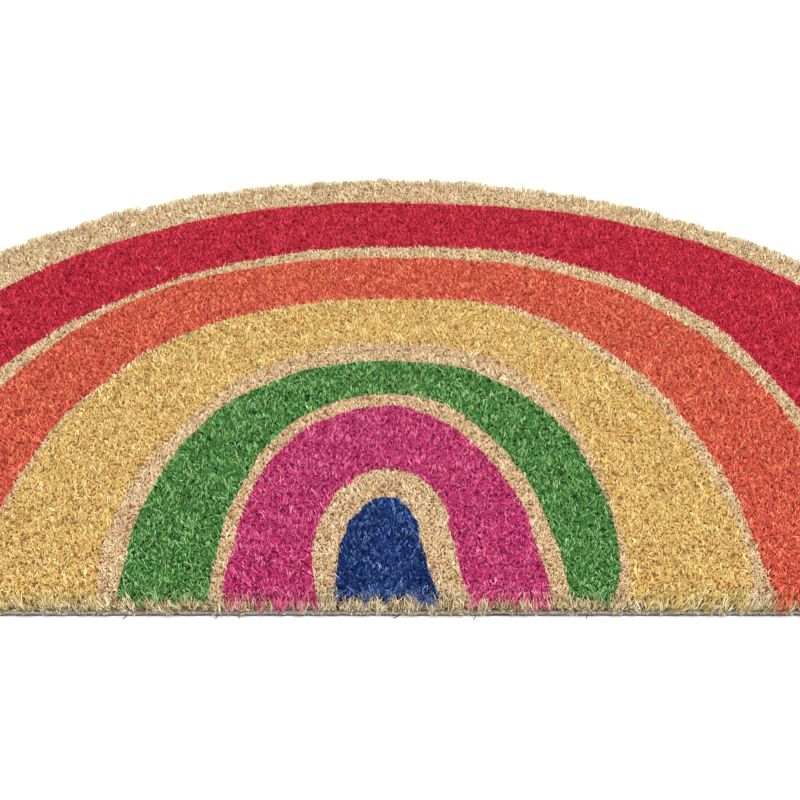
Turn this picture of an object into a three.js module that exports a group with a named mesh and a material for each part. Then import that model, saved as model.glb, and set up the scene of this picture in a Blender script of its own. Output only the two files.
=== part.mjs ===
// Half round coir doormat: a flat sheet of vinyl with a short, dense pile of coconut fibre standing on it.
// Millimetres, +Z up. The mat lies flat on z = 0 and the origin is the middle of its footprint.
// +X runs along the straight edge, and +Y from the straight edge to the top of the round one.
import * as THREE from "three";
import { mergeVertices } from "three/addons/utils/BufferGeometryUtils.js";

// The mat over all, the pile's overhang included: a half circle on two short straight sides.
const MAT_WIDTH = 750;
const MAT_DEPTH = 450;
const MAT_THICKNESS = 15.5;
const CORNER_RADIUS = 5;

// The vinyl sheet, and the small gap that keeps the two pieces apart.
const BACKING_THICKNESS = 2.6;
const PIECE_GAP = 0.3;

// The pile leans out past the sheet's cut edge, and each tuft of fibre on the rim makes a small scallop.
const PILE_OVERHANG = 2.0;
const TUFT_PITCH = 9;
const TUFT_RELIEF = 1.3;
const POINTS_PER_TUFT = 3;
const BACKING_POINT_SPACING = 8;

// The hand-cut line wanders slowly about the true half circle.
const CUT_WANDER = 1.4;
const CUT_WAVES = [
  { perTurn: 5, phase: 0.4, share: 0.45 },
  { perTurn: 8, phase: 2.1, share: 0.35 },
  { perTurn: 13, phase: 4.4, share: 0.2 },
];

// Section of the pile's rim, from its foot to its top: how far out of the sheet's edge, how high above the
// pile's foot as a share of its height, and how much of the tufts' relief shows there.
const RIM_SECTION = [
  { out: -0.3, rise: 0.0, relief: 0.2 },
  { out: 1.2, rise: 0.38, relief: 0.7 },
  { out: PILE_OVERHANG, rise: 0.76, relief: 1.0 },
  { out: 0.4, rise: 0.95, relief: 0.9 },
  { out: -3.0, rise: 1.0, relief: 0.4 },
];

const coir = new THREE.MeshStandardMaterial({
  color: new THREE.Color(0.8, 0.68, 0.5),
  roughness: 0.95,
  metalness: 0,
});
const vinyl = new THREE.MeshStandardMaterial({
  color: new THREE.Color(0.36, 0.36, 0.35),
  roughness: 0.6,
  metalness: 0,
});

// The cut line of the vinyl sheet: straight front edge, straight sides, and a half circle between them.
// It runs anticlockwise seen from above, from the middle of the front edge.
function cutLine() {
  const halfWidth = MAT_WIDTH / 2 - PILE_OVERHANG;
  const front = -MAT_DEPTH / 2 + PILE_OVERHANG;
  const back = MAT_DEPTH / 2 - PILE_OVERHANG;
  const centreY = back - halfWidth;
  const r = CORNER_RADIUS;
  const line = new THREE.Path();
  line.moveTo(0, front);
  line.lineTo(halfWidth - r, front);
  line.absarc(halfWidth - r, front + r, r, -Math.PI / 2, 0, false);
  line.lineTo(halfWidth, centreY);
  line.absarc(0, centreY, halfWidth, 0, Math.PI, false);
  line.lineTo(-halfWidth, front + r);
  line.absarc(-halfWidth + r, front + r, r, Math.PI, 1.5 * Math.PI, false);
  line.lineTo(0, front);
  return line;
}

// How far the hand-cut line lies outside the true one, at a share u of the way round. The straight front
// edge is cut along a rule, so the wander fades out there.
function cutWander(u, y) {
  const front = -MAT_DEPTH / 2;
  const fade = THREE.MathUtils.smoothstep(y, front + CORNER_RADIUS, front + MAT_DEPTH / 3);
  const sum = CUT_WAVES.reduce(
    (total, wave) => total + wave.share * Math.sin(2 * Math.PI * wave.perTurn * u + wave.phase),
    0,
  );
  return CUT_WANDER * fade * sum;
}

// Evenly spaced stations round the cut line, each with its place and its outward direction.
function stations(count) {
  const line = cutLine();
  line.arcLengthDivisions = 2000;
  return Array.from({ length: count }, (_, i) => {
    const u = i / count;
    const place = line.getPointAt(u);
    const along = line.getTangentAt(u);
    const outward = new THREE.Vector2(along.y, -along.x);
    place.addScaledVector(outward, cutWander(u, place.y));
    return { place, outward };
  });
}

// The relief of the tufts at a station: a round scallop for each tuft, no two quite alike.
function tuftRelief(i, tufts) {
  const tuft = Math.floor(i / POINTS_PER_TUFT);
  const across = (i % POINTS_PER_TUFT) / POINTS_PER_TUFT;
  const size = 0.7 + 0.3 * Math.sin(2.4 * tuft) * Math.cos((2 * Math.PI * 7 * tuft) / tufts);
  return TUFT_RELIEF * size * (Math.sin(Math.PI * across) - 1);
}

// A closed solid from rings of equal length, one above the other, with a flat cap at each end.
function solidFromRings(rings) {
  const count = rings[0].length;
  const places = rings.flat().flatMap((p) => [p.x, p.y, p.z]);
  const faces = [];
  for (let level = 0; level < rings.length - 1; level++) {
    for (let i = 0; i < count; i++) {
      const a = level * count + i;
      const b = level * count + ((i + 1) % count);
      faces.push(a, b, b + count, a, b + count, a + count);
    }
  }
  const flat = (ring) => ring.map((p) => new THREE.Vector2(p.x, p.y));
  const last = (rings.length - 1) * count;
  for (const [a, b, c] of THREE.ShapeUtils.triangulateShape(flat(rings[0]), [])) {
    faces.push(a, c, b);
  }
  for (const [a, b, c] of THREE.ShapeUtils.triangulateShape(flat(rings.at(-1)), [])) {
    faces.push(last + a, last + b, last + c);
  }
  const geometry = new THREE.BufferGeometry();
  geometry.setAttribute("position", new THREE.Float32BufferAttribute(places, 3));
  geometry.setIndex(faces);
  return mergeVertices(geometry, 1e-4);
}

// The flat vinyl sheet, cut square.
function backing() {
  const count = Math.round(cutLine().getLength() / BACKING_POINT_SPACING);
  const ring = (z) => stations(count).map(({ place }) => new THREE.Vector3(place.x, place.y, z));
  const mesh = new THREE.Mesh(solidFromRings([ring(0), ring(BACKING_THICKNESS)]), vinyl);
  mesh.name = "vinyl_backing";
  return mesh;
}

// The coir pile: one slab with a scalloped rim that leans out over the sheet, and a flat, sheared top.
function pile() {
  const foot = BACKING_THICKNESS + PIECE_GAP;
  const height = MAT_THICKNESS - foot;
  const tufts = Math.round(cutLine().getLength() / TUFT_PITCH);
  const around = stations(tufts * POINTS_PER_TUFT);
  const rings = RIM_SECTION.map(({ out, rise, relief }) =>
    around.map(({ place, outward }, i) => {
      const offset = out + relief * tuftRelief(i, tufts);
      const at = place.clone().addScaledVector(outward, offset);
      return new THREE.Vector3(at.x, at.y, foot + rise * height);
    }),
  );
  const mesh = new THREE.Mesh(solidFromRings(rings), coir);
  mesh.name = "coir_pile";
  return mesh;
}

// Both pieces, moved together so that the origin is the middle of the whole footprint.
const mat = new THREE.Group();
mat.add(backing(), pile());
const middle = new THREE.Box3().setFromObject(mat).getCenter(new THREE.Vector3());
mat.position.set(-middle.x, -middle.y, 0);

export default mat;
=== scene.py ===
"""Half round coir doormat: a vinyl sheet with a short, dense pile of coconut fibre, dyed with arches.

All sizes are in metres, in the frame's axes: the mat lies flat on z = 0 with the origin in the middle of
its footprint, +X runs along the straight front edge and +Y from there to the top of the round edge.
"""

from __future__ import annotations

import logging
import math
from dataclasses import dataclass, replace
from enum import Enum
from typing import Any

import bmesh
import bpy
import numpy as np
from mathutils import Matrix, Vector


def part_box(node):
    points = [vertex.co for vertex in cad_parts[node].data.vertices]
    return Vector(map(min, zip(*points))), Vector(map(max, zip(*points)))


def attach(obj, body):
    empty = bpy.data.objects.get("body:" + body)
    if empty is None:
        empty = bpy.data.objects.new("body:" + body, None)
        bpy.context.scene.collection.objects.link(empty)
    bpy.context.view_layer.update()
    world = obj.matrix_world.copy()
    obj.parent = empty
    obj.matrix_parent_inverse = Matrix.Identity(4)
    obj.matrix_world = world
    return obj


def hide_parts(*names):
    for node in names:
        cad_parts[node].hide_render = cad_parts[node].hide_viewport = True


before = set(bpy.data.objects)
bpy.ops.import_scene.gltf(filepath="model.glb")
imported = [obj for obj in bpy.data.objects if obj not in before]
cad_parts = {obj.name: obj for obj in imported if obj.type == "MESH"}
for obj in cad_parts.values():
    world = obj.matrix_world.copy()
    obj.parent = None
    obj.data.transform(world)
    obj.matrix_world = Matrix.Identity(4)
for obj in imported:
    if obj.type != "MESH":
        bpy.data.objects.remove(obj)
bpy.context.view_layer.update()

LOG = logging.getLogger("doormat")
MM = 0.001
BODY = "root"
SHEET_NODE = "vinyl_backing"
PILE_NODE = "coir_pile"
Colour = tuple[int, int, int]

# Straight up, the factors that lay a vector flat, and the mean of a pattern of colours.
UP = (0.0, 0.0, 1.0)
FLAT = (1.0, 1.0, 0.0)
MEAN = (0.5, 0.5, 0.5)

# The name of the map that gives each fibre a small square of its own.
UV_MAP = "OFBake"

# Points that lie closer together than this are merged.
MERGE_WITHIN = 0.001 * MM


def linear(colour: Colour, share: float = 1.0) -> tuple[float, float, float, float]:
    """Turns a screen colour into the linear one that a shader takes.

    Args:
        colour: red, green and blue from 0 to 255.
        share: how much of its light is kept.

    Returns:
        Linear red, green and blue from 0 to 1, and an alpha of 1.
    """
    # The standard curve of screen colours.
    parts = [c / 255 for c in colour]
    lit = [p / 12.92 if p <= 0.04045 else ((p + 0.055) / 1.055) ** 2.4 for p in parts]
    return (*[share * c for c in lit], 1.0)


class Value:
    """An output of a node. Arithmetic on it adds Math nodes to its tree."""

    def __init__(self, graph: Graph, socket: bpy.types.NodeSocket) -> None:
        """Wraps one output socket."""
        self.graph = graph
        self.socket = socket

    def __getitem__(self, key: str) -> Value:
        """Another output of the same node, by its name."""
        return Value(self.graph, Graph.pick(self.socket.node.outputs, key))

    def maths(self, operation: str, *values: Any) -> Value:
        """Adds a Math node on these values."""
        return self.graph.node("ShaderNodeMath", {"operation": operation}, dict(enumerate(values)))

    def __add__(self, other: Any) -> Value:
        """self + other."""
        return self.maths("ADD", self, other)

    def __radd__(self, other: Any) -> Value:
        """other + self."""
        return self.maths("ADD", other, self)

    def __sub__(self, other: Any) -> Value:
        """self - other."""
        return self.maths("SUBTRACT", self, other)

    def __rsub__(self, other: Any) -> Value:
        """other - self."""
        return self.maths("SUBTRACT", other, self)

    def __mul__(self, other: Any) -> Value:
        """self * other.

        Args:
            other: a number, a value, or a tuple that scales the parts of a vector.

        Returns:
            The product.
        """
        if isinstance(other, tuple):
            return self.graph.vector("MULTIPLY", self, other)
        return self.maths("MULTIPLY", self, other)

    def __rmul__(self, other: Any) -> Value:
        """other * self."""
        return self.maths("MULTIPLY", other, self)

    def __truediv__(self, other: Any) -> Value:
        """self / other."""
        return self.maths("DIVIDE", self, other)

    def __rtruediv__(self, other: Any) -> Value:
        """other / self."""
        return self.maths("DIVIDE", other, self)

    def __pow__(self, power: float) -> Value:
        """self ** power."""
        return self.maths("POWER", self, power)

    def within(self, low: float, high: float) -> Value:
        """How far the value is on its way from one number to another.

        Args:
            low: where it starts.
            high: where it ends.

        Returns:
            The share of the way, from 0 to 1, with soft ends.
        """
        settings = {"interpolation_type": "SMOOTHSTEP"}
        inputs = {"Value": self, "From Min": low, "From Max": high}
        return self.graph.node("ShaderNodeMapRange", settings, inputs)


class Graph:
    """A node tree that is built by name: one call for each node."""

    def __init__(self, tree: bpy.types.NodeTree) -> None:
        """Takes an empty tree."""
        self.tree = tree

    @staticmethod
    def pick(sockets: Any, key: int | str) -> bpy.types.NodeSocket:
        """Finds a socket.

        Args:
            sockets: a node's inputs or outputs.
            key: the socket's place, identifier or name.

        Returns:
            The socket.
        """
        if isinstance(key, int):
            return sockets[key]
        for socket in sockets:
            if socket.identifier == key:
                return socket
        return sockets[key]

    def node(
        self, kind: str, settings: dict[str, Any] | None = None, inputs: dict[Any, Any] | None = None
    ) -> Value:
        """Adds a node.

        Args:
            kind: the node's type.
            settings: its own settings, which are set first. The stops of a ramp are (place, colour) pairs.
            inputs: values or links of its sockets, by place, identifier or name.

        Returns:
            Its first output that is in use, or its first input where it has no output.
        """
        made = self.tree.nodes.new(kind)
        for name, setting in (settings or {}).items():
            if name == "stops":
                self.set_stops(made.color_ramp, setting)
            else:
                setattr(made, name, setting)
        for key, value in (inputs or {}).items():
            socket = self.pick(made.inputs, key)
            if isinstance(value, Value):
                self.tree.links.new(value.socket, socket)
            else:
                socket.default_value = value
        shown = [socket for socket in made.outputs if socket.enabled]
        return Value(self, (shown or list(made.inputs))[0])

    @staticmethod
    def set_stops(ramp: bpy.types.ColorRamp, stops: list[tuple[float, Colour]]) -> None:
        """Gives a colour ramp its stops.

        Args:
            ramp: a new ramp.
            stops: the stops, as (place, screen colour) pairs.
        """
        while len(ramp.elements) < len(stops):
            ramp.elements.new(1.0)
        for element, (place, colour) in zip(ramp.elements, stops, strict=True):
            element.position = place
            element.color = linear(colour)

    def mix(self, factor: Any, a: Any, b: Any, blend: str = "MIX") -> Value:
        """Mixes two colours.

        Args:
            factor: how much of the second one there is.
            a: the first colour.
            b: the second colour.
            blend: how they are mixed.

        Returns:
            The mixed colour.
        """
        settings = {"data_type": "RGBA", "blend_type": blend}
        inputs = {"Factor_Float": factor, "A_Color": a, "B_Color": b}
        return self.node("ShaderNodeMix", settings, inputs)

    def vector(self, operation: str, *values: Any) -> Value:
        """Adds a Vector Math node.

        Args:
            operation: what it does.
            values: the vectors that it works on. The second value of SCALE is a number.

        Returns:
            Its result.
        """
        inputs = dict(enumerate(values))
        if operation == "SCALE":
            inputs["Scale"] = inputs.pop(1)
        return self.node("ShaderNodeVectorMath", {"operation": operation}, inputs)

    def join(self, x: Any = 0.0, y: Any = 0.0, z: Any = 0.0) -> Value:
        """A vector from its three parts."""
        return self.node("ShaderNodeCombineXYZ", {}, {"X": x, "Y": y, "Z": z})

    def part(self, vector: Value, axis: str) -> Value:
        """One part of a vector: X, Y or Z."""
        return self.node("ShaderNodeSeparateXYZ", {}, {0: vector})[axis]

    def noise(self, place: Value, size: float, detail: float = 2.0, roughness: float = 0.5) -> Value:
        """A noise pattern whose lumps are about this size."""
        inputs = {"Vector": place, "Scale": 1 / size, "Detail": detail, "Roughness": roughness}
        return self.node("ShaderNodeTexNoise", {"noise_dimensions": "3D"}, inputs)

    def cells(self, place: Value, scale: Any) -> Value:
        """A pattern of cells seen from above, this many to a metre: their Distance, Color and Position."""
        settings = {"voronoi_dimensions": "2D", "feature": "F1"}
        return self.node("ShaderNodeTexVoronoi", settings, {"Vector": place, "Scale": scale})


class MaterialGraph(Graph):
    """The tree of one new material, with its surface shader."""

    def __init__(self, name: str, **constants: float) -> None:
        """Makes the material and its shader.

        Args:
            name: the material's name.
            constants: the shader's even values, with _ for a space in their names.
        """
        self.material = bpy.data.materials.new(name)
        self.material.use_nodes = True
        self.material.node_tree.nodes.clear()
        super().__init__(self.material.node_tree)
        even = {key.replace("_", " "): value for key, value in constants.items()}
        self.shader = self.node("ShaderNodeBsdfPrincipled", {}, even)
        self.node("ShaderNodeOutputMaterial", {}, {"Surface": self.shader})

    def feed(self, **inputs: Value) -> bpy.types.Material:
        """Links patterns to the shader.

        Args:
            inputs: the pattern for each of its inputs, with _ for a space in their names.

        Returns:
            The finished material.
        """
        for name, value in inputs.items():
            socket = self.shader.socket.node.inputs[name.replace("_", " ")]
            self.tree.links.new(value.socket, socket)
        return self.material

    def place(self) -> Value:
        """The place on the piece, in its own axes."""
        return self.node("ShaderNodeTexCoord")["Object"]

    def height(self) -> Value:
        """The height above the surface that the mat lies on."""
        return self.part(self.place(), "Z")

    def attribute(self, name: str) -> Value:
        """A value that the mesh holds."""
        return self.node("ShaderNodeAttribute", {"attribute_name": name})["Fac"]

    def dim(self, colour: Value, light: Value) -> Value:
        """A colour with this share of its light."""
        return self.mix(1.0, colour, self.join(light, light, light), "MULTIPLY")

    def bump(self, height: Value, strength: float, depth: float) -> Value:
        """The relief that a pattern makes, at a strength from 0 to 1 of this depth."""
        return self.node("ShaderNodeBump", {}, {"Strength": strength, "Distance": depth, "Height": height})


class GeometryGraph(Graph):
    """The tree of one Geometry Nodes modifier, with named inputs for its sizes."""

    def __init__(self, name: str, sizes: dict[str, float | int]) -> None:
        """Makes the tree.

        Args:
            name: the tree's name.
            sizes: its inputs and their values. A whole number makes a whole-number input.
        """
        super().__init__(bpy.data.node_groups.new(name, "GeometryNodeTree"))
        face = self.tree.interface
        face.new_socket("Geometry", in_out="INPUT", socket_type="NodeSocketGeometry")
        face.new_socket("Geometry", in_out="OUTPUT", socket_type="NodeSocketGeometry")
        self.values = {}
        for key, value in sizes.items():
            kind = "NodeSocketInt" if isinstance(value, int) else "NodeSocketFloat"
            self.values[face.new_socket(key, in_out="INPUT", socket_type=kind).identifier] = value
        self.inputs = self.node("NodeGroupInput")
        self.draws = 0

    def size(self, name: str) -> Value:
        """One of the named inputs."""
        return self.inputs[name]

    def here(self) -> Value:
        """The place of each point."""
        return self.node("GeometryNodeInputPosition")

    def draw(self, kind: str, **inputs: Any) -> Value:
        """A random value for each point, from a seed of its own."""
        self.draws += 1
        return self.node("FunctionNodeRandomValue", {"data_type": kind}, {**inputs, "Seed": self.draws})

    def random(self, low: Any = 0.0, high: Any = 1.0) -> Value:
        """A random number for each point."""
        return self.draw("FLOAT", Min_001=low, Max_001=high)

    def store(self, geometry: Value, name: str, value: Value) -> Value:
        """Stores a number for each instance.

        Args:
            geometry: the instances.
            name: the number's name.
            value: the number.

        Returns:
            The instances with the number.
        """
        settings = {"data_type": "FLOAT", "domain": "INSTANCE"}
        inputs = {"Geometry": geometry, "Name": name, "Value": value}
        return self.node("GeometryNodeStoreNamedAttribute", settings, inputs)

    def run(self, emitter: bpy.types.Object, result: Value, dress: bpy.types.Material) -> bpy.types.Mesh:
        """Ends the tree, runs it on an object and keeps what it makes.

        Args:
            emitter: the object that the tree starts from. It is used up.
            result: the geometry to keep.
            dress: its material.

        Returns:
            A plain mesh.
        """
        plain = self.node("GeometryNodeRealizeInstances", {}, {"Geometry": result})
        dressed = self.node("GeometryNodeSetMaterial", {}, {"Geometry": plain, "Material": dress})
        self.node("NodeGroupOutput", {}, {"Geometry": dressed})
        modifier = emitter.modifiers.new(self.tree.name, "NODES")
        modifier.node_group = self.tree
        for identifier, value in self.values.items():
            modifier[identifier] = value
        depsgraph = bpy.context.evaluated_depsgraph_get()
        made = bpy.data.meshes.new_from_object(emitter.evaluated_get(depsgraph))
        emitter.modifiers.clear()
        bpy.data.objects.remove(emitter)
        return made


@dataclass(frozen=True)
class Holes:
    """The small holes of the pile, where its tufts stand apart and the roots below are painted dark as
    shade.

    Attributes:
        pitch: about how far apart they are.
        small: radius of the smallest, as a share of the pitch.
        large: radius of the largest.
    """

    pitch: float = 6 * MM
    small: float = -0.12
    large: float = 0.26

    def cells(self, graph: Graph, place: Value) -> tuple[Value, Value]:
        """The pattern of holes.

        Args:
            graph: the tree.
            place: where to look at it.

        Returns:
            The cells round the holes, and the radius of each hole as a share of the pitch.
        """
        cells = graph.cells(place, 1 / self.pitch)
        draw = graph.part(cells["Color"], "X")
        return cells, draw * (self.large - self.small) + self.small


# The same holes put painted shade on the roots and part the fibres above them.
HOLES = Holes()


@dataclass(frozen=True)
class DyeTones:
    """The tones of one dye.

    Attributes:
        slot: the record's material slot.
        gap: painted shade: the dye as it looks in the shadowed gaps between the clumps.
        dark: the deepest fibres.
        middle: most fibres.
        light: the palest fibres.
        soak: how far the dye goes down from the top of the pile where the cut edge shows it.
    """

    slot: str
    gap: Colour
    dark: Colour
    middle: Colour
    light: Colour
    soak: float


class Dye(Enum):
    """What the coir is dyed with. BARE is the fibre's own colour."""

    # The slot, then the painted shade of the gaps, the dark, middle and light tones, and the soak.
    BARE = DyeTones("coir_natural", (106, 70, 46), (202, 169, 127), (244, 228, 186), (255, 247, 218), 0.0)
    RED = DyeTones("coir_red", (84, 8, 20), (172, 31, 52), (229, 64, 88), (242, 98, 110), 8 * MM)
    ORANGE = DyeTones("coir_orange", (108, 32, 28), (194, 74, 62), (242, 141, 102), (252, 172, 120), 8 * MM)
    YELLOW = DyeTones("coir_yellow", (116, 72, 40), (200, 162, 90), (246, 225, 154), (255, 243, 190), 9 * MM)
    GREEN = DyeTones("coir_green", (12, 34, 14), (58, 110, 50), (148, 199, 118), (186, 224, 158), 5 * MM)
    PINK = DyeTones("coir_pink", (86, 10, 42), (174, 44, 98), (237, 103, 149), (248, 158, 190), 10 * MM)
    BLUE = DyeTones("coir_blue", (6, 14, 38), (21, 46, 102), (59, 96, 163), (130, 162, 214), 4.6 * MM)


@dataclass(frozen=True)
class CoirFinish:
    """Coconut fibre, dyed on its upper part, and painted darker towards its foot as shade.

    Attributes:
        dye: the dye.
        top: height from which the fibre has none of its painted shade. It may lie above the pile.
        foot: height below which its painted shade is deepest.
        painted_foot_light: how much of the top's light colour the painted shade leaves there.
        soak: how far the dye goes down from the top, or None where it reaches all that shows.
    """

    dye: Dye
    top: float
    foot: float
    painted_foot_light: float
    soak: float | None = None

    # The blotches in the colour, how dark they make it, and how much lighter it is between them.
    BLOTCH = 14 * MM
    BLOTCH_DARK = 0.8
    BLOTCH_LIFT = 0.4

    # The tufts that soak up more of the dye or less; the factors of their pattern, which draw it out
    # along the fibres; and the part of its range in which it goes from less to more.
    TUFT = 6 * MM
    TUFT_ASPECT = (1.0, 1.0, 0.2)
    TUFT_RANGE = (0.3, 0.7)

    # How far the dye goes down, in soaks: at the least, more in a tuft, and more in a single fibre.
    # It fades out within INK_EDGE above and below that.
    LEAST_REACH = 0.1
    TUFT_REACH = 1.5
    FIBRE_REACH = 0.8
    INK_EDGE = 0.8 * MM

    # The red-brown husks among the bare fibres, and the shade up to which they show.
    HUSK = (132, 74, 48)
    HUSK_END = 0.14

    # How the fibres shine, how rough the darkest one is, and how much rougher the palest one.
    SHINE = 0.2
    ROUGH = 0.68
    ROUGHER = 0.27

    def material(self) -> bpy.types.Material:
        """Builds the material. Each fibre's own shade, from 0 to 1, is a value that its mesh holds.

        Returns:
            The material.
        """
        tones = self.dye.value
        graph = MaterialGraph(tones.slot, Specular_IOR_Level=self.SHINE)
        shade = graph.attribute("shade")
        height = graph.height()
        bare = graph.node("ShaderNodeValToRGB", {"stops": self.bare_stops()}, {"Fac": shade})
        stops = [(0.0, tones.dark), (0.5, tones.middle), (1.0, tones.light)]
        colour = bare
        if self.dye is not Dye.BARE:
            colour = graph.node("ShaderNodeValToRGB", {"stops": stops}, {"Fac": shade})
        if self.soak is not None and self.dye is not Dye.BARE:
            tuft = graph.noise(graph.place() * self.TUFT_ASPECT, self.TUFT, detail=1.0)
            tuft = tuft.within(*self.TUFT_RANGE)
            drift = graph.attribute("drift")
            reach = self.LEAST_REACH + self.TUFT_REACH * tuft * tuft + self.FIBRE_REACH * drift
            level = self.top - self.soak * reach
            ink = (height - level).within(-self.INK_EDGE, self.INK_EDGE)
            colour = graph.mix(ink, bare, colour)
        blotch = graph.noise(graph.place(), self.BLOTCH, detail=3.0)
        # Painted shade: the fibre is darker towards its foot, as if in the shadow of the pile.
        lit = height.within(self.foot, self.top) * (1 - self.painted_foot_light) + self.painted_foot_light
        # The painted shade, times the blotches of the fibre's own colour.
        tone = lit * (self.BLOTCH_DARK + self.BLOTCH_LIFT * blotch)
        roughness = self.ROUGH + self.ROUGHER * shade
        return graph.feed(Base_Color=graph.dim(colour, tone), Roughness=roughness)

    def bare_stops(self) -> list[tuple[float, Colour]]:
        """The undyed fibre's tones: a few red-brown husks, then tan, straw and cream."""
        tones = Dye.BARE.value
        return [(0.0, self.HUSK), (self.HUSK_END, tones.dark), (0.5, tones.middle), (1.0, tones.light)]


@dataclass(frozen=True)
class RootFinish:
    """The packed fibre below the tips: dull dyed fibre, with painted shade in its gaps, in the holes and
    towards its foot.

    Attributes:
        dye: the dye.
        low: height below which its painted shade is deepest.
        high: height from which it has no painted shade.
        body: how much of the dark tone is left, as painted shade of the fibre under the tips.
    """

    dye: Dye
    low: float
    high: float
    body: float = 0.74

    # The grain of the packed fibre and the factors of its pattern, which draw it out from front to back;
    # the part of its range in which it goes from gap to fibre; and how much light the painted shade of
    # the gaps leaves.
    GRAIN = 0.9 * MM
    GRAIN_ASPECT = (1.0, 0.5, 1.0)
    GRAIN_GAP = 0.42
    GRAIN_FIBRE = 0.53
    GAP_LIGHT = 0.5

    # How far inside and outside the radius of a hole the edge of its painted shade is soft, as shares
    # of the pitch.
    HOLE_INSIDE = 0.06
    HOLE_OUTSIDE = 0.1

    # How much light the painted shade towards the foot leaves at the low height.
    LOW_LIGHT = 0.5

    # How the grain shines, how rough its gaps are and how much rougher its fibre is, and its relief.
    SHINE = 0.05
    ROUGH = 0.85
    ROUGHER = 0.1
    RELIEF = 0.6 * MM
    RELIEF_SHARE = 0.7

    def material(self) -> bpy.types.Material:
        """Builds the material.

        Returns:
            The material.
        """
        tones = self.dye.value
        graph = MaterialGraph(f"{tones.slot}_roots", Specular_IOR_Level=self.SHINE)
        grain = graph.noise(graph.place() * self.GRAIN_ASPECT, self.GRAIN, roughness=0.6)
        is_fibre = grain.within(self.GRAIN_GAP, self.GRAIN_FIBRE)
        # The fibre dimmed by the body's painted shade, with deeper painted shade in the gaps of its grain.
        body = graph.mix(is_fibre, linear(tones.gap, self.GAP_LIGHT), linear(tones.dark, self.body))
        # Painted shade in the holes.
        holes, radius = HOLES.cells(graph, graph.place())
        hole_shade = 1 - (holes["Distance"] - radius).within(-self.HOLE_INSIDE, self.HOLE_OUTSIDE)
        colour = graph.mix(hole_shade, body, linear(tones.gap))
        # Painted shade: darker towards the foot of the bed.
        lit = graph.height().within(self.low, self.high)
        colour = graph.dim(colour, self.LOW_LIGHT + (1 - self.LOW_LIGHT) * lit)
        bump = graph.bump(grain, self.RELIEF_SHARE, self.RELIEF)
        return graph.feed(Base_Color=colour, Roughness=self.ROUGH + self.ROUGHER * grain, Normal=bump)


@dataclass(frozen=True)
class VinylFinish:
    """Grey vinyl: paler on its cut edge, with a dark skin underneath that has a fine grain. The dark band
    at the foot of the cut edge is partly that skin and partly painted shadow under the edge.

    Attributes:
        edge: colour of the cut edge.
        skin: colour of the skin, and of the painted shadow at the foot of the cut edge.
        skin_and_shadow_depth: how high the dark band of skin and painted shadow reaches up the cut edge.
        painted_shadow_drift: size of the long stretches where that band is thicker, as painted shadow under
            the edge.
        skin_ripple: size of the small waves in its thickness.
        speckle: size of the crumbs that the cut edge shows.
        speckle_dark: how much of the edge's light the darkest crumbs have.
        speckle_light: how much of it the lightest ones have.
        grain: size of the pebbles on the skin.
        relief: how deep they are.
    """

    edge: Colour = (143, 140, 132)
    skin: Colour = (44, 44, 46)
    skin_and_shadow_depth: float = 0.9 * MM
    painted_shadow_drift: float = 45 * MM
    skin_ripple: float = 7 * MM
    speckle: float = 1.2 * MM
    speckle_dark: float = 0.3
    speckle_light: float = 1.2
    grain: float = 1.6 * MM
    relief: float = 0.3 * MM

    # The part of their patterns' ranges in which the crumbs go from dark to light, and the band of skin and
    # painted shadow from thin to thick, and the mean of the ripple's range.
    CRUMB_RANGE = (0.35, 0.65)
    SHADOW_DRIFT_RANGE = (0.5, 0.75)
    RIPPLE_MEAN = 0.5

    # Where the dark band of skin and painted shadow gives way to the cut face, in skin depths.
    SKIN_FROM = 0.8
    SKIN_TO = 1.1

    # How the vinyl shines, how rough it is at the least, and how much rougher its crumbs are.
    SHINE = 0.35
    ROUGH = 0.5
    ROUGHER = 0.3

    # How much the pebbles run into each other, how far the crumbs add to them, and how strong both are.
    PEBBLE_BLEND = 0.6
    CRUMB_RELIEF = 0.4
    RELIEF_SHARE = 0.5

    def material(self) -> bpy.types.Material:
        """Builds the material.

        Returns:
            The material.
        """
        graph = MaterialGraph("vinyl", Specular_IOR_Level=self.SHINE)
        speckle = graph.noise(graph.place(), self.speckle, detail=4.0, roughness=0.7)
        crumbs = linear(self.edge, self.speckle_dark), linear(self.edge, self.speckle_light)
        cut = graph.mix(speckle.within(*self.CRUMB_RANGE), *crumbs)
        # Painted shadow under the edge: long stretches where the dark band at its foot is thicker.
        thick = graph.noise(graph.place(), self.painted_shadow_drift).within(*self.SHADOW_DRIFT_RANGE)
        ripple = graph.noise(graph.place(), self.skin_ripple)
        wavy = graph.height() - self.skin_and_shadow_depth * (thick + ripple - self.RIPPLE_MEAN)
        above = wavy.within(self.SKIN_FROM * self.skin_and_shadow_depth, self.SKIN_TO * self.skin_and_shadow_depth)
        # The dark skin and painted shadow at the foot, and the cut face above.
        colour = graph.mix(above, linear(self.skin), cut)
        pebbles = graph.node(
            "ShaderNodeTexVoronoi",
            {"voronoi_dimensions": "3D", "feature": "SMOOTH_F1"},
            {"Vector": graph.place(), "Scale": 1 / self.grain, "Smoothness": self.PEBBLE_BLEND},
        )
        relief = pebbles["Distance"] + self.CRUMB_RELIEF * speckle
        bump = graph.bump(relief, self.RELIEF_SHARE, self.relief)
        return graph.feed(Base_Color=colour, Roughness=self.ROUGH + self.ROUGHER * speckle, Normal=bump)


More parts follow.
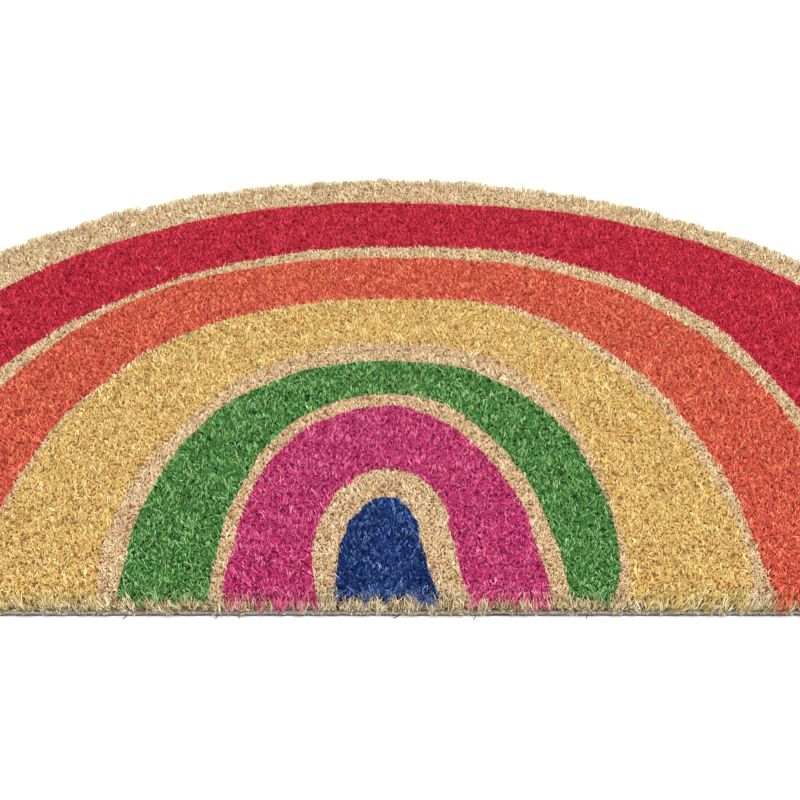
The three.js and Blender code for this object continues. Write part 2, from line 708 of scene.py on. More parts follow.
@dataclass(frozen=True)
class HairFinish:
    """The nearly black hairs that coir has among its brown ones.

    Attributes:
        tone: their colour.
        grain: size of their spots.
        contrast: how much darker or lighter the spots are than the tone.
    """

    tone: Colour = (34, 30, 28)
    grain: float = 1 * MM
    contrast: float = 0.3

    # How the hairs shine, how rough their dark spots are, and how much rougher the light ones are.
    SHINE = 0.3
    ROUGH = 0.5
    ROUGHER = 0.3

    def material(self) -> bpy.types.Material:
        """Builds the material.

        Returns:
            The material.
        """
        graph = MaterialGraph("coir_hair", Specular_IOR_Level=self.SHINE)
        grain = graph.noise(graph.place(), self.grain)
        spots = linear(self.tone, 1 - self.contrast), linear(self.tone, 1 + self.contrast)
        colour = graph.mix(grain, *spots)
        return graph.feed(Base_Color=colour, Roughness=self.ROUGH + self.ROUGHER * grain)


@dataclass(frozen=True)
class FloorFinish:
    """Plain, nearly white paper.

    Attributes:
        dull: its duller tone.
        pale: its paler tone.
        patch: size of the patches of each.
    """

    dull: Colour = (244, 244, 244)
    pale: Colour = (250, 250, 250)
    patch: float = 400 * MM

    # How rough the paper is, and how it shines.
    ROUGH = 0.9
    SHINE = 0.1

    def material(self) -> bpy.types.Material:
        """Builds the material.

        Returns:
            The material.
        """
        graph = MaterialGraph("floor", Roughness=self.ROUGH, Specular_IOR_Level=self.SHINE)
        patches = graph.noise(graph.place(), self.patch)
        return graph.feed(Base_Color=graph.mix(patches, linear(self.dull), linear(self.pale)))


@dataclass(frozen=True)
class Outline:
    """A closed outline seen from above, as the reach from the origin in each direction.

    Attributes:
        angles: the directions, in order.
        reaches: how far the outline lies from the origin in each.
    """

    angles: np.ndarray
    reaches: np.ndarray

    # Points on the line that the evenly spaced ones are taken from.
    FINE_STEPS = 20000

    # How far to either side of a point its outward direction is smoothed.
    SMOOTH = 4 * MM

    # The decimals, in metres, by which a node's levels and its points are told apart.
    LEVEL_DECIMALS = 5
    POINT_DECIMALS = 6

    @classmethod
    def of_node(cls, node: bpy.types.Object) -> Outline:
        """Reads the outline from a node of the frame, at the height where it is widest.

        Args:
            node: the node's object.

        Returns:
            The outline.
        """
        places = np.array([v.co for v in node.data.vertices])
        levels = np.round(places[:, 2], cls.LEVEL_DECIMALS)
        widest = max(np.unique(levels), key=lambda z: np.ptp(places[levels == z][:, 0]))
        ring = np.unique(places[levels == widest][:, :2].round(cls.POINT_DECIMALS), axis=0)
        angles = np.arctan2(ring[:, 1], ring[:, 0])
        order = np.argsort(angles)
        return cls(angles[order], np.hypot(*ring[order].T))

    def ring(self, spacing: float, inset: float = 0.0) -> np.ndarray:
        """Evenly spaced points round the outline.

        Args:
            spacing: about how far the points lie apart.
            inset: how far inside the outline they lie.

        Returns:
            Their places, anticlockwise from the middle of the front edge.
        """
        angles = np.linspace(-0.5 * math.pi, 1.5 * math.pi, self.FINE_STEPS)
        reach = np.interp(angles, self.angles, self.reaches, period=2 * math.pi)
        fine = reach[:, None] * np.c_[np.cos(angles), np.sin(angles)]
        along = np.r_[0, np.cumsum(np.hypot(*np.diff(fine, axis=0).T))]
        at = np.linspace(0, along[-1], round(along[-1] / spacing) + 1)[:-1]
        ring = np.c_[np.interp(at, along, fine[:, 0]), np.interp(at, along, fine[:, 1])]
        return ring - inset * self.outward(ring, spacing)

    @classmethod
    def outward(cls, ring: np.ndarray, spacing: float) -> np.ndarray:
        """The outward direction at each point of a ring.

        Args:
            ring: the points, anticlockwise.
            spacing: about how far they lie apart.

        Returns:
            A direction one unit long for each.
        """
        reach = max(1, round(cls.SMOOTH / spacing))
        along = sum(np.roll(ring, -k, 0) - np.roll(ring, k, 0) for k in range(1, reach + 1))
        out = np.c_[along[:, 1], -along[:, 0]]
        return out / np.hypot(*out.T)[:, None]

    def fuller(self, by: float, towards: float) -> Outline:
        """An outline that reaches further out on one side: by this much in this direction, in degrees."""
        swell = by * np.clip(np.cos(self.angles - math.radians(towards)), 0, 1) ** 2
        return Outline(self.angles, self.reaches + swell)

    def depth(self, places: np.ndarray, front: float) -> np.ndarray:
        """About how far inside the outline each place lies.

        Args:
            places: the places.
            front: y of the outline's straight edge.

        Returns:
            The distances.
        """
        angles = np.arctan2(places[:, 1], places[:, 0])
        reach = np.interp(angles, self.angles, self.reaches, period=2 * math.pi)
        return np.minimum(reach - np.hypot(*places.T), places[:, 1] - front)

    def area(self) -> float:
        """The area inside the outline."""
        x, y = self.reaches * np.cos(self.angles), self.reaches * np.sin(self.angles)
        return 0.5 * abs(float(np.dot(x, np.roll(y, -1)) - np.dot(y, np.roll(x, -1))))


@dataclass(frozen=True)
class Arch:
    """One edge of the print, from its left foot on the front edge over its crown to its right foot.

    Attributes:
        crown: height of the crown above the front edge.
        left: half width to the left.
        right: half width to the right.
        left_round: roundness of the left shoulder: 2 is an ellipse's, and more is squarer.
        right_round: roundness of the right shoulder.
        left_tuck: how far the left foot is drawn in.
        right_tuck: how far the right foot is drawn in.
        lean: how far the crown leans to the right.
        phase: where the edge's small wander starts.
    """

    crown: float
    left: float
    right: float
    left_round: float = 2.3
    right_round: float = 2.3
    left_tuck: float = 0.0
    right_tuck: float = 0.0
    lean: float = 0.0
    phase: float = 0.0

    # The height in which the drawing in of a foot fades away.
    FOOT = 14 * MM

    # The small wander of the hand-laid edge, and its waves to half a turn.
    WANDER = 0.8 * MM
    WAVES = (7, 12, 19)

    def half_width(self, up: np.ndarray, left: np.ndarray) -> np.ndarray:
        """How far the edge lies from the middle.

        Args:
            up: heights above the front edge.
            left: whether each is on the left.

        Returns:
            The half widths.
        """
        power = np.where(left, self.left_round, self.right_round)
        width = np.where(left, self.left, self.right) * (1 - (up / self.crown) ** power) ** (1 / power)
        return width - self.tuck(up, left)

    def tuck(self, up: np.ndarray, left: np.ndarray) -> np.ndarray:
        """How far the foot is drawn in at these heights above the front edge."""
        return np.where(left, self.left_tuck, self.right_tuck) * np.exp(-up / self.FOOT)

    def line(self, front: float, lift: float, steps: int) -> np.ndarray:
        """The edge as points, which lie closer together towards its feet.

        Args:
            front: y of the front edge.
            lift: how far behind the front edge the line's feet stand.
            steps: the number of points.

        Returns:
            Their places, from the left foot to the right one.
        """
        share = np.linspace(0, 1, steps)
        turn = math.pi * (1 - share**2 * (3 - 2 * share))
        left = turn > 0.5 * math.pi
        power = 2 / np.where(left, self.left_round, self.right_round)
        rise = np.abs(np.sin(turn)) ** power
        rise[[0, -1]] = 0
        side = np.where(left, -1, 1)
        width = np.where(left, self.left, self.right) * np.abs(np.cos(turn)) ** power
        up = lift + rise * (self.crown - lift)
        wander = self.WANDER * sum(np.sin(k * turn + k * self.phase) / 2 for k in self.WAVES)
        out = width - self.tuck(up, left) + wander * width / self.right
        return np.c_[side * out + self.lean * rise, front + up + wander * rise]

    def encloses(self, places: np.ndarray, front: float) -> np.ndarray:
        """Finds the places inside the edge.

        Args:
            places: the places.
            front: y of the front edge.

        Returns:
            Whether each place lies inside.
        """
        up = np.clip(places[:, 1] - front, 0, self.crown)
        across = places[:, 0] - self.lean * up / self.crown
        return np.abs(across) < self.half_width(up, across < 0)


@dataclass(frozen=True)
class Band:
    """One band of the print, from its outer edge to the next band's.

    Attributes:
        dye: its dye.
        edge: its outer edge, or None where it reaches the rim.
    """

    dye: Dye
    edge: Arch | None


# The bands from the rim to the middle. The sizes of an edge are its crown, its left and right half width,
# its left and right roundness, its left and right tuck, its lean and its phase.
BANDS = (
    Band(Dye.BARE, None),
    Band(Dye.RED, Arch(420 * MM, 342 * MM, 347 * MM, 2.18, 2.38, phase=2.1)),
    Band(Dye.BARE, Arch(357.5 * MM, 287 * MM, 254 * MM, 2.05, 2.5, phase=1.4)),
    Band(Dye.ORANGE, Arch(343 * MM, 259.5 * MM, 246 * MM, 2.37, 2.46, phase=0.7)),
    Band(Dye.BARE, Arch(290.5 * MM, 219.5 * MM, 190 * MM, 2.98, 1.79, 3 * MM, -7 * MM, 35 * MM, 1.0)),
    Band(Dye.YELLOW, Arch(290 * MM, 216.3 * MM, 185.5 * MM, 3.0, 1.68, 3 * MM, 4 * MM, 35 * MM, 1.0)),
    Band(Dye.BARE, Arch(238.5 * MM, 152 * MM, 124 * MM, 2.08, 2.46, 7 * MM, 3 * MM, phase=3.7)),
    Band(Dye.GREEN, Arch(217.5 * MM, 138 * MM, 122.5 * MM, 2.3, 2.38, 0.0, 10 * MM, phase=4.1)),
    Band(Dye.BARE, Arch(182.5 * MM, 91 * MM, 90 * MM, 2.22, 1.98, 1 * MM, -5 * MM, phase=5.2)),
    Band(Dye.PINK, Arch(170 * MM, 84 * MM, 81.5 * MM, 2.25, 1.86, 2 * MM, -2 * MM, phase=5.9)),
    Band(Dye.BARE, Arch(107.5 * MM, 41 * MM, 36 * MM, 2.45, 2.5, 5 * MM, -6 * MM, phase=2.1)),
    Band(Dye.BLUE, Arch(83.5 * MM, 27.3 * MM, 19.6 * MM, 2.32, 2.2, 1 * MM, -8 * MM, phase=3.0)),
)


@dataclass
class ArchPrint:
    """The dyed print: where each band lies on the mat.

    Attributes:
        rim: the pile's outline.
        front: y of the front edge.
        steps: points along each edge.
    """

    rim: Outline
    front: float
    steps: int = 211

    # How far apart the rim's own points lie, and how far out a point of its sides or its round part lies
    # at the least, as a share of the half width.
    RIM_STEP = 1 * MM
    LEAST_REACH = 0.95

    def rim_line(self, guide: np.ndarray, inset: float, lift: float) -> np.ndarray:
        """The rim, with a point straight outside each point of the next edge.

        Args:
            guide: the points of the next edge.
            inset: how far inside the outline the line lies.
            lift: how far behind the front edge the line starts and ends.

        Returns:
            As many points, from the left end of the front edge to its right end.
        """
        centre = np.array((0, self.front + lift))
        ring = self.rim.ring(self.RIM_STEP, inset) - centre
        is_round = (ring[:, 1] >= 0) & (np.hypot(*ring.T) > self.LEAST_REACH * ring[:, 0].max())
        ring = ring[is_round]
        angles = np.arctan2(ring[:, 1], ring[:, 0])
        order = np.argsort(angles)
        along = guide - centre
        turn = np.arctan2(along[:, 1], along[:, 0])
        reach = np.interp(turn, angles[order], np.hypot(*ring[order].T))
        return centre + reach[:, None] * np.c_[np.cos(turn), np.sin(turn)]

    def lines(self, inset: float, lift: float) -> list[np.ndarray]:
        """All the edges from the rim inwards, and last the stretch of the front edge that the middle fills.

        Args:
            inset: how far inside the mat's outline the first line lies.
            lift: how far behind the front edge the lines start and end.

        Returns:
            The points of each line.
        """
        edges = [band.edge.line(self.front, lift, self.steps) for band in BANDS[1:]]
        sill = np.c_[edges[-1][:, 0], np.full(self.steps, self.front + lift)]
        return [self.rim_line(edges[0], inset, lift), *edges, sill]

    def dye_at(self, places: np.ndarray) -> np.ndarray:
        """Looks up the print.

        Args:
            places: the places.

        Returns:
            The dye at each of them.
        """
        found = np.full(len(places), Dye.BARE)
        for band in BANDS[1:]:
            found[band.edge.encloses(places, self.front)] = band.dye
        return found


def mesh_of(name: str, points: np.ndarray | list, faces: np.ndarray | list) -> bpy.types.Mesh:
    """Makes a mesh.

    Args:
        name: its name.
        points: its points.
        faces: the numbers of the points of each face.

    Returns:
        The mesh.
    """
    mesh = bpy.data.meshes.new(name)
    mesh.from_pydata(np.asarray(points).tolist(), [], [[int(i) for i in face] for face in faces])
    return mesh


def piece_of(mesh: bpy.types.Mesh, name: str) -> bpy.types.Object:
    """Puts a mesh in the scene.

    Args:
        mesh: the mesh.
        name: the name of its object.

    Returns:
        The object.
    """
    made = bpy.data.objects.new(name, mesh)
    bpy.context.scene.collection.objects.link(made)
    return made


def close_up(piece: bpy.types.Object) -> None:
    """Merges points that coincide, drops the ones that no face uses, and turns the skin outwards.

    Args:
        piece: the piece.
    """
    work = bmesh.new()
    work.from_mesh(piece.data)
    bmesh.ops.remove_doubles(work, verts=work.verts, dist=MERGE_WITHIN)
    bmesh.ops.delete(work, geom=[v for v in work.verts if not v.link_faces], context="VERTS")
    bmesh.ops.recalc_face_normals(work, faces=work.faces)
    work.to_mesh(piece.data)
    work.free()


@dataclass(frozen=True)
class Level:
    """One level of a fibre's skin.

    Attributes:
        along: how far along the fibre it lies, from 0 at the root to 1 at the tip.
        bend: how far it lies to the side, in widths of the fibre.
        width: its width, in widths of the fibre.
        corners: its corners, from 1 to 3.
        turn: how far it is turned, as a share of a full turn.
    """

    along: float
    bend: float
    width: float
    corners: int
    turn: float = 0.0


@dataclass(frozen=True)
class FibreShape:
    """One fibre: a few levels with a closed skin of triangles, one unit long and one unit wide.

    Attributes:
        levels: the levels, from the root to the tip.
    """

    levels: tuple[Level, ...]

    # How far up its own map the sides reach, and where the cap on a blunt tip starts above them.
    SIDES_TO = 0.88
    CAP_FROM = 0.92

    def skin(self) -> tuple[list, list, list]:
        """Works out the skin.

        Returns:
            The points, the points of each triangle, and the triangle's places on the fibre's own map.
        """
        points, starts = [], []
        for level in self.levels:
            starts.append(len(points))
            for k in range(level.corners):
                turn = 2 * math.pi * (level.turn + k / level.corners)
                radius = 0.5 * level.width if level.corners > 1 else 0.0
                points.append((level.bend + radius * math.cos(turn), radius * math.sin(turn), level.along))
        faces, places = [], []
        for number in range(len(self.levels) - 1):
            self.add_stretch(number, starts, faces, places)
        if self.levels[-1].corners == 3:
            faces.append([starts[-1], starts[-1] + 1, starts[-1] + 2])
            places += [(0.0, self.CAP_FROM), (1.0, self.CAP_FROM), (0.5, 1.0)]
        return points, faces, places

    def add_stretch(self, number: int, starts: list, faces: list, places: list) -> None:
        """Adds the triangles between a level and the next one.

        Args:
            number: the lower level's number.
            starts: the number of each level's first point.
            faces: the triangles so far.
            places: their places on the map so far.
        """
        low, high = self.levels[number], self.levels[number + 1]
        base, top = starts[number], starts[number + 1]
        v_low = self.SIDES_TO * number / (len(self.levels) - 1)
        v_high = self.SIDES_TO * (number + 1) / (len(self.levels) - 1)
        i = j = 0
        while i < low.corners or j < high.corners:
            u_low = i / low.corners if low.corners > 1 else 0.5
            u_high = j / high.corners if high.corners > 1 else 0.5
            next_low = low.turn + (i + 1) / low.corners if i < low.corners else math.inf
            next_high = high.turn + (j + 1) / high.corners if j < high.corners else math.inf
            here, there = base + i % low.corners, top + j % high.corners
            if next_low <= next_high:
                i += 1
                if low.corners > 1:
                    faces.append([here, base + i % low.corners, there])
                    places += [(u_low, v_low), (i / low.corners, v_low), (u_high, v_high)]
            else:
                j += 1
                if high.corners > 1:
                    faces.append([here, top + j % high.corners, there])
                    places += [(u_low, v_low), (j / high.corners, v_high), (u_high, v_high)]

    def mesh(self, name: str, hanging: bool) -> bpy.types.Mesh:
        """Makes the mesh.

        Args:
            name: its name.
            hanging: whether its origin is at its tip. If not, it is at its root.

        Returns:
            The mesh, with its own map.
        """
        points, faces, places = self.skin()
        mesh = mesh_of(name, np.array(points) - (0, 0, 1.0 if hanging else 0.0), faces)
        corners = mesh.uv_layers.new(name=UV_MAP)
        corners.data.foreach_set("uv", np.array(places, np.float32).ravel())
        return mesh


# A straight bristle, one with a bend, and the longer curved ones of the rim. Each level is given by its
# place along the fibre, its bend, width, corners and turn.
STRAIGHT = FibreShape((Level(0.0, 0.0, 1.0, 2), Level(1.0, 0.0, 0.8, 2, 0.25)))
BENT = FibreShape((Level(0.0, 0.0, 0.0, 1), Level(0.55, 1.3, 1.1, 3), Level(1.0, 0.0, 0.8, 2)))
CURVED = FibreShape((Level(0.0, 0.0, 0.0, 1), Level(0.55, 1.6, 1.3, 3), Level(1.0, 0.0, 0.0, 1)))
HOOKED = FibreShape((Level(0.0, 0.0, 0.0, 1), Level(0.6, 2.2, 1.2, 3), Level(1.0, -1.6, 0.8, 2)))


@dataclass(frozen=True)
class Fibres:
    """A crop of fibres on an emitter. Each kind of crop says how its fibres are placed and aimed.

    Attributes:
        shapes: the shapes that the fibres are copies of.
        density: fibres to a square metre of the emitter.
        thin: the thinnest fibre.
        thick: the thickest fibre.
        short: the shortest fibre.
        long: the longest fibre.
        clump: the size of the clumps that fibres stick together in.
        pull: how far a fibre is drawn to the middle of its clump, as a share of the way.
        fan: how much the fibres of a clump spread apart.
        clump_lean: how much the fibres of a clump lean together.
        own_lean: how much each fibre leans by itself.
        seed: what the scatter starts from.
    """

    shapes: tuple[FibreShape, ...]
    density: float
    thin: float
    thick: float
    short: float
    long: float
    clump: float
    pull: float
    fan: float
    clump_lean: float
    own_lean: float
    seed: int = 0

    # Whether the fibres hang from their tips.
    HANGING = True

    # How much more the loosest fibres lean, and how rare they are: the power of an even draw.
    LOOSE = 0.0
    LOOSE_POWER = 30.0

    # The empty border of each fibre's square on the map, as a share of the square.
    MAP_BORDER = 0.08

    def grow(self, name: str, emitter: bpy.types.Object, dress: bpy.types.Material) -> bpy.types.Object:
        """Grows the fibres.

        Args:
            name: the piece's name.
            emitter: the faces that they grow on. It is used up.
            dress: their material.

        Returns:
            The piece, as one plain mesh.
        """
        sizes = {
            "Density": self.density,
            "Thin": self.thin,
            "Thick": self.thick,
            "Short": self.short,
            "Long": self.long,
            "Clump": self.clump,
            "Pull": self.pull,
            "Fan": self.fan,
            "Clump Lean": self.clump_lean,
            "Own Lean": self.own_lean,
            "Seed": self.seed,
        }
        graph = GeometryGraph(f"{name}_tree", sizes)
        points = graph.node(
            "GeometryNodeDistributePointsOnFaces",
            {"distribute_method": "RANDOM"},
            {"Mesh": graph.inputs, "Density": graph.size("Density"), "Seed": graph.size("Seed")},
        )
        cells = graph.cells(graph.here(), 1 / graph.size("Clump"))
        offset = self.offset(graph, cells)
        points = graph.node("GeometryNodeSetPosition", {}, {"Geometry": points, "Offset": offset})
        placed = self.place(graph, points, cells)
        placed = graph.store(placed, "fibre", graph.node("GeometryNodeInputIndex"))
        placed = graph.store(placed, "shade", graph.random())
        placed = graph.store(placed, "drift", graph.random())
        mesh = graph.run(emitter, placed, dress)
        mesh.name = name
        self.lay_out(mesh)
        return piece_of(mesh, name)

    def offset(self, graph: GeometryGraph, cells: Value) -> Value:
        """How far each fibre is moved from where it was scattered."""
        to_middle = graph.vector("SUBTRACT", cells["Position"], graph.here())
        return graph.vector("SCALE", to_middle, graph.size("Pull")) * FLAT

    def aim(self, graph: GeometryGraph, cells: Value) -> Value:
        """Aims the fibres.

        Args:
            graph: the tree.
            cells: the clumps.

        Returns:
            The direction of each fibre from its root to its tip, one unit high.
        """
        shared = graph.vector("SUBTRACT", cells["Color"], MEAN)
        shared = graph.vector("SCALE", shared, 2 * graph.size("Clump Lean"))
        own = graph.draw("FLOAT_VECTOR", Min=(-1.0, -1.0, -1.0), Max=(1.0, 1.0, 1.0))
        loose = self.LOOSE * graph.random() ** self.LOOSE_POWER
        own = graph.vector("SCALE", own, graph.size("Own Lean") + loose)
        apart = graph.vector("SUBTRACT", graph.here(), cells["Position"])
        apart = graph.vector("SCALE", apart, graph.size("Fan") / graph.size("Clump"))
        lean = graph.vector("ADD", graph.vector("ADD", shared, own), apart)
        return graph.vector("ADD", lean * FLAT, UP)

    def length(self, graph: GeometryGraph, cells: Value, steepness: Value) -> Value:
        """The length of each fibre. One that leans more is longer, because all reach the same height."""
        return graph.random(graph.size("Short"), graph.size("Long")) * steepness

    def place(self, graph: GeometryGraph, points: Value, cells: Value) -> Value:
        """Puts a shape on each point.

        Args:
            graph: the tree.
            points: the points.
            cells: the clumps.

        Returns:
            The instances.
        """
        aim = self.aim(graph, cells)
        turned = graph.node("FunctionNodeAlignRotationToVector", {"axis": "Z"}, {"Vector": aim})
        turn = {"Axis": UP, "Angle": graph.random(0.0, 2 * math.pi)}
        spin = graph.node("FunctionNodeAxisAngleToRotation", {}, turn)
        both = {"Rotation": turned, "Rotate By": spin}
        spun = graph.node("FunctionNodeRotateRotation", {"rotation_space": "LOCAL"}, both)
        width = graph.random(graph.size("Thin"), graph.size("Thick"))
        length = self.length(graph, cells, graph.vector("LENGTH", aim))
        inputs = {
            "Points": points,
            "Instance": self.kit(graph),
            "Pick Instance": True,
            "Instance Index": graph.draw("INT", Min_002=0, Max_002=len(self.shapes) - 1),
            "Rotation": spun,
            "Scale": graph.join(width, width, length),
        }
        return graph.node("GeometryNodeInstanceOnPoints", {}, inputs)

    def kit(self, graph: GeometryGraph) -> Value:
        """Makes the shapes.

        Args:
            graph: the tree.

        Returns:
            The shapes, from a collection of their own that isn't in the scene.
        """
        kept = bpy.data.collections.new(graph.tree.name)
        for number, shape in enumerate(self.shapes):
            mesh = shape.mesh(f"{kept.name}_{number}", self.HANGING)
            kept.objects.link(bpy.data.objects.new(mesh.name, mesh))
        inputs = {"Collection": kept, "Separate Children": True, "Reset Children": True}
        return graph.node("GeometryNodeCollectionInfo", {}, inputs)

    def lay_out(self, mesh: bpy.types.Mesh) -> None:
        """Gives each fibre a small square of its own on the piece's map.

        Args:
            mesh: the mesh, which holds each fibre's number at its points.
        """
        numbers = np.empty(len(mesh.vertices), np.float32)
        mesh.attributes["fibre"].data.foreach_get("value", numbers)
        corners = np.empty(len(mesh.loops), np.int32)
        mesh.loops.foreach_get("vertex_index", corners)
        fibre = numbers[corners].astype(int)
        across = math.ceil(math.sqrt(fibre.max() + 1))
        uv = np.empty(2 * len(mesh.loops), np.float32)
        mesh.uv_layers[UV_MAP].data.foreach_get("uv", uv)
        square = np.c_[fibre % across, fibre // across]
        uv = (square + self.MAP_BORDER + (1 - 2 * self.MAP_BORDER) * uv.reshape(-1, 2)) / across
        mesh.uv_layers[UV_MAP].data.foreach_set("uv", uv.astype(np.float32).ravel())
        mesh.attributes.remove(mesh.attributes["fibre"])


@dataclass(frozen=True)
class FieldFibres(Fibres):
    """The sheared pile. Its fibres hang from their tips, so that the dye keeps a crisp edge.

    Attributes:
        front: y of the front edge, towards which the first fibres lean.
        drop: how far below the sheared top a single short tip ends.
        relief: how far the tips of whole tufts lie below it.
        tuft: size of those tufts.
        sway: how far whole tufts lean to one side or another.
        sway_size: size of those tufts.
        nod: how much the first fibres lean forward.
        nod_reach: how far behind the front edge the last of them stand.
        steepest: the most that a leaning fibre is lengthened.
    """

    front: float = 0.0
    drop: float = 1.5 * MM
    relief: float = 0.6 * MM
    tuft: float = 6 * MM
    sway: float = 8 * MM
    sway_size: float = 15 * MM
    nod: float = 0.5
    nod_reach: float = 12 * MM
    steepest: float = 2.2

    LOOSE = 1.4

    # How rare the low tips are: the power of an even draw.
    DROP_POWER = 2.5

    # The part of the range of the tufts' pattern in which they go from high to low.
    TUFT_RANGE = (0.3, 0.7)

    # A hole pushes the tips within this many of its radii away from its middle, by at most PUSH_MOST
    # times their distance from it. PUSH_SOFT, a share of the pitch, keeps the push even at the middle.
    PUSH_RADII = 2
    PUSH_MOST = 2.0
    PUSH_SOFT = 0.02

    def offset(self, graph: GeometryGraph, cells: Value) -> Value:
        """Draws the tips together in clumps and away from the holes, and lowers some of them.

        Args:
            graph: the tree.
            cells: the clumps.

        Returns:
            How far each tip is moved.
        """
        place = graph.here()
        low = graph.noise(place, self.tuft, detail=1.0).within(*self.TUFT_RANGE)
        fall = -self.drop * graph.random() ** self.DROP_POWER - self.relief * low
        moved = graph.vector("ADD", super().offset(graph, cells), graph.join(z=fall))
        sway = graph.vector("SUBTRACT", graph.noise(place, self.sway_size)["Color"], MEAN)
        sway = graph.vector("SCALE", sway, self.sway) * FLAT
        moved = graph.vector("ADD", moved, sway)
        holes, radius = HOLES.cells(graph, place)
        push = radius / (holes["Distance"] + self.PUSH_SOFT) - 1 / self.PUSH_RADII
        push = push.maths("MINIMUM", push.maths("MAXIMUM", push, 0.0), self.PUSH_MOST)
        away = graph.vector("SUBTRACT", place, holes["Position"]) * FLAT
        return graph.vector("ADD", moved, graph.vector("SCALE", away, push))

    def aim(self, graph: GeometryGraph, cells: Value) -> Value:
        """Lets the fibres at the front edge lean forward.

        Args:
            graph: the tree.
            cells: the clumps.

        Returns:
            The direction of each fibre from its root to its tip.
        """
        near = 1 - (graph.part(graph.here(), "Y") - self.front).within(0.0, self.nod_reach)
        return graph.vector("ADD", super().aim(graph, cells), graph.join(y=-self.nod * near))

    def length(self, graph: GeometryGraph, cells: Value, steepness: Value) -> Value:
        """The length of each fibre. The ones that lie nearly flat aren't much longer."""
        return super().length(graph, cells, steepness.maths("MINIMUM", steepness, self.steepest))


@dataclass(frozen=True)
class RimFibres(Fibres):
    """The fibres of the cut edge. They stand on the sheet and splay outwards over its edge.

    Attributes:
        splay: how much they all lean outwards.
        droop: how much more the loosest ones do.
        uneven: how much shorter than the longest clump the shortest one is, as a share.
    """

    splay: float = 0.2
    droop: float = 4.0
    uneven: float = 0.0

    HANGING = False

    # How rare the drooping ones are: the power of an even draw.
    DROOP_POWER = 6.0

    def aim(self, graph: GeometryGraph, cells: Value) -> Value:
        """Lets the fibres lean outwards, a few of them by a lot.

        Args:
            graph: the tree.
            cells: the clumps.

        Returns:
            The direction of each fibre from its root to its tip.
        """
        settings = {"data_type": "FLOAT_VECTOR"}
        outward = graph.node("GeometryNodeInputNamedAttribute", settings, {"Name": "outward"})
        out = graph.vector("SCALE", outward, self.splay + self.droop * graph.random() ** self.DROOP_POWER)
        return graph.vector("ADD", super().aim(graph, cells), out)

    def length(self, graph: GeometryGraph, cells: Value, steepness: Value) -> Value:
        """The length of each fibre. One that hangs over the edge is a short one."""
        share = 1 - self.uneven * graph.part(cells["Color"], "X")
        return graph.random(graph.size("Short"), graph.size("Long")) * share / steepness


